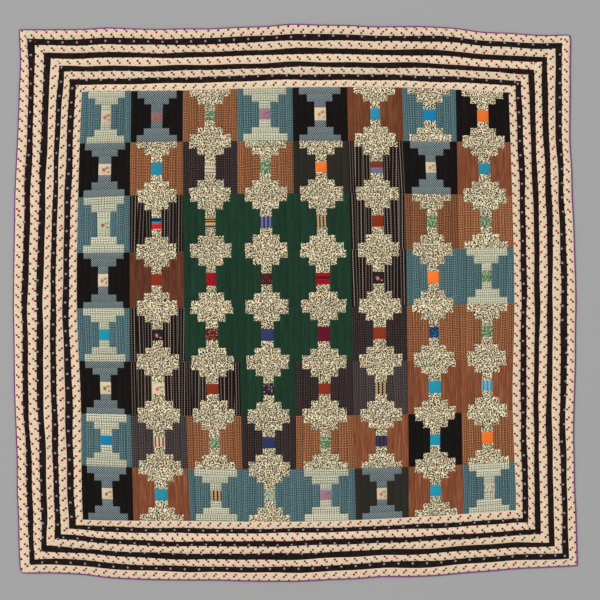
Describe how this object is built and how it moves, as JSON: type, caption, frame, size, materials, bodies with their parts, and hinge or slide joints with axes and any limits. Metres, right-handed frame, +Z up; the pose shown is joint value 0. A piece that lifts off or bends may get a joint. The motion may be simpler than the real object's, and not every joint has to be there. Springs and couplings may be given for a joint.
{
  "type": "log cabin quilt",
  "caption": "Square bed quilt laid out flat: a patchwork of log cabin blocks in calico, check and plain scraps, framed by cream and black border strips and a narrow purple binding.",
  "frame": {"origin": "under the middle of the quilt's box, on the surface that it lies on", "axes": "+X to the quilt's right, +Y to its top edge as the picture shows it, +Z up off the surface"},
  "size_m": [1.9766, 1.9518, 0.0056],
  "materials": {
    "patchwork": "matte scraps of woven cotton, light calico above and below and dark checks at the sides of each centre",
    "cream_print": "matte cream cotton with paired crimson and brown dots",
    "black_print": "matte black cotton with pale lavender dots",
    "purple_binding": "matte purple cotton folded over the edge"
  },
  "bodies": {
    "root": {"patchwork": "patchwork", "cream_5_top": "cream_print", "cream_5_bottom": "cream_print", "cream_5_left": "cream_print", "cream_5_right": "cream_print", "black_4_top": "black_print", "black_4_bottom": "black_print", "black_4_left": "black_print", "black_4_right": "black_print", "cream_4_top": "cream_print", "cream_4_bottom": "cream_print", "cream_4_left": "cream_print", "cream_4_right": "cream_print", "black_3_top": "black_print", "black_3_bottom": "black_print", "black_3_left": "black_print", "black_3_right": "black_print", "cream_3_top": "cream_print", "cream_3_bottom": "cream_print", "cream_3_left": "cream_print", "cream_3_right": "cream_print", "black_2_top": "black_print", "black_2_bottom": "black_print", "black_2_left": "black_print", "black_2_right": "black_print", "cream_2_top": "cream_print", "cream_2_bottom": "cream_print", "cream_2_left": "cream_print", "cream_2_right": "cream_print", "black_1_top": "black_print", "black_1_bottom": "black_print", "black_1_left": "black_print", "black_1_right": "black_print", "cream_1_top": "cream_print", "cream_1_bottom": "cream_print", "cream_1_left": "cream_print", "cream_1_right": "cream_print", "binding_top": "purple_binding", "binding_bottom": "purple_binding", "binding_left": "purple_binding", "binding_right": "purple_binding"}
  },
  "joints": []
}
